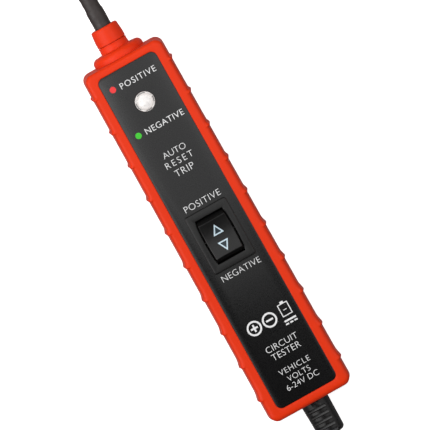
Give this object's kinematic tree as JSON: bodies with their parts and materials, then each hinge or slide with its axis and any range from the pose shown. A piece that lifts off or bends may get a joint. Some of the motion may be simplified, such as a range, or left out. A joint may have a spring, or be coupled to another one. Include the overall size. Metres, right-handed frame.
{
  "type": "circuit test light",
  "caption": "Hand-held powered circuit test light with a red slim housing, rocker switch, indicator lamp and a long insulated probe.",
  "frame": {"origin": "middle of the rear case's flat back, where the centreline of the housing's length and width meets it", "axes": "+Y along the tool towards the probe's point, +Z out of the labelled front face, +X to the right when looking at the front with the probe up"},
  "size_m": [0.031, 0.2376, 0.027],
  "materials": {
    "case_red": "satin orange-red moulded plastic",
    "label_black": "semi-gloss black printed film",
    "switch_black": "black nylon",
    "rubber_black": "black soft PVC",
    "sleeve_black": "dark grey heat-shrink sleeve",
    "clear_lens": "clear acrylic",
    "led_epoxy": "clear lamp epoxy",
    "zinc_steel": "bright zinc",
    "brass": "bright brass",
    "bimetal": "rolled bimetal strip",
    "board_green": "solder-masked glass laminate",
    "resistor_tan": "lacquered",
    "phenolic_brown": "phenolic moulding",
    "wire_red": "PVC insulation",
    "wire_black": "PVC insulation",
    "wire_yellow": "PVC insulation",
    "print_white": "screen-printed ink",
    "print_red": "screen-printed ink",
    "print_green": "screen-printed ink"
  },
  "bodies": {
    "housing": {"front_case": "case_red", "rear_case": "case_red", "nozzle_collar": "case_red", "face_label": "label_black", "switch_frame": "switch_black", "switch_base": "switch_black", "led_holder": "switch_black", "transistor": "switch_black", "cable_clamp": "switch_black", "strain_relief": "rubber_black", "led_lens": "clear_lens", "indicator_led": "led_epoxy", "case_screw_1": "zinc_steel", "case_screw_2": "zinc_steel", "case_screw_3": "zinc_steel", "case_screw_4": "zinc_steel", "board_screw_1": "zinc_steel", "board_screw_2": "zinc_steel", "clamp_screw_1": "zinc_steel", "clamp_screw_2": "zinc_steel", "breaker_cover": "zinc_steel", "terminal_positive": "brass", "terminal_common": "brass", "terminal_negative": "brass", "breaker_terminal_in": "brass", "breaker_terminal_out": "brass", "probe_socket": "brass", "circuit_board": "board_green", "resistor_1": "resistor_tan", "resistor_2": "resistor_tan", "resistor_3": "resistor_tan", "breaker_base": "phenolic_brown", "breaker_lead": "wire_red", "board_lead_red": "wire_red", "board_lead_black": "wire_black", "probe_lead": "wire_yellow"},
    "rocker": {"rocker": "switch_black", "plunger_spring": "zinc_steel"},
    "plunger": {"rocker_plunger": "zinc_steel"},
    "contact_arm": {"contact_arm": "brass"},
    "bimetal": {"bimetal_blade": "bimetal"},
    "probe": {"probe_plug": "brass", "probe_rod": "zinc_steel", "probe_sleeve": "sleeve_black"},
    "grip_ring": {"grip_ring": "rubber_black"},
    "nozzle_cap": {"nozzle_cap": "case_red"}
  },
  "joints": [
    {"name": "rocker_tilt", "type": "hinge", "parent": "housing", "child": "rocker", "pos_m": [0, -0.0018, 0.0227], "axis": [1, 0, 0], "range_deg": [-12, 12], "stiffness_Nm_per_rad": 0.03},
    {"name": "plunger_slide", "type": "slide", "parent": "rocker", "child": "plunger", "axis": [0, 0, 1], "range_m": [0, 0.0008], "stiffness_N_per_m": 800, "springref_m": -0.001, "deforming": ["plunger_spring"]},
    {"name": "arm_tilt", "type": "hinge", "parent": "housing", "child": "contact_arm", "pos_m": [0, -0.0018, 0.0153], "axis": [1, 0, 0], "range_deg": [-8, 8]},
    {"name": "breaker_trip", "type": "hinge", "parent": "housing", "child": "bimetal", "pos_m": [0, -0.03025, 0.0106], "axis": [1, 0, 0], "range_deg": [0, 4], "stiffness_Nm_per_rad": 0.01},
    {"name": "probe_pull", "type": "slide", "parent": "housing", "child": "probe", "axis": [0, 1, 0], "range_m": [0, 0.03]},
    {"name": "cap_lift", "type": "slide", "parent": "housing", "child": "grip_ring", "axis": [0, 1, 0], "range_m": [0, 0.003]},
    {"name": "cap_turn", "type": "hinge", "parent": "grip_ring", "child": "nozzle_cap", "pos_m": [0, 0.06415, 0.012], "axis": [0, 1, 0], "range_deg": [0, 1081]}
  ],
  "couplings": [
    {"joint": "arm_tilt", "follows": "rocker_tilt", "ratio": -0.65},
    {"joint": "cap_turn", "follows": "cap_lift", "rad_per_m": 6283.2}
  ]
}
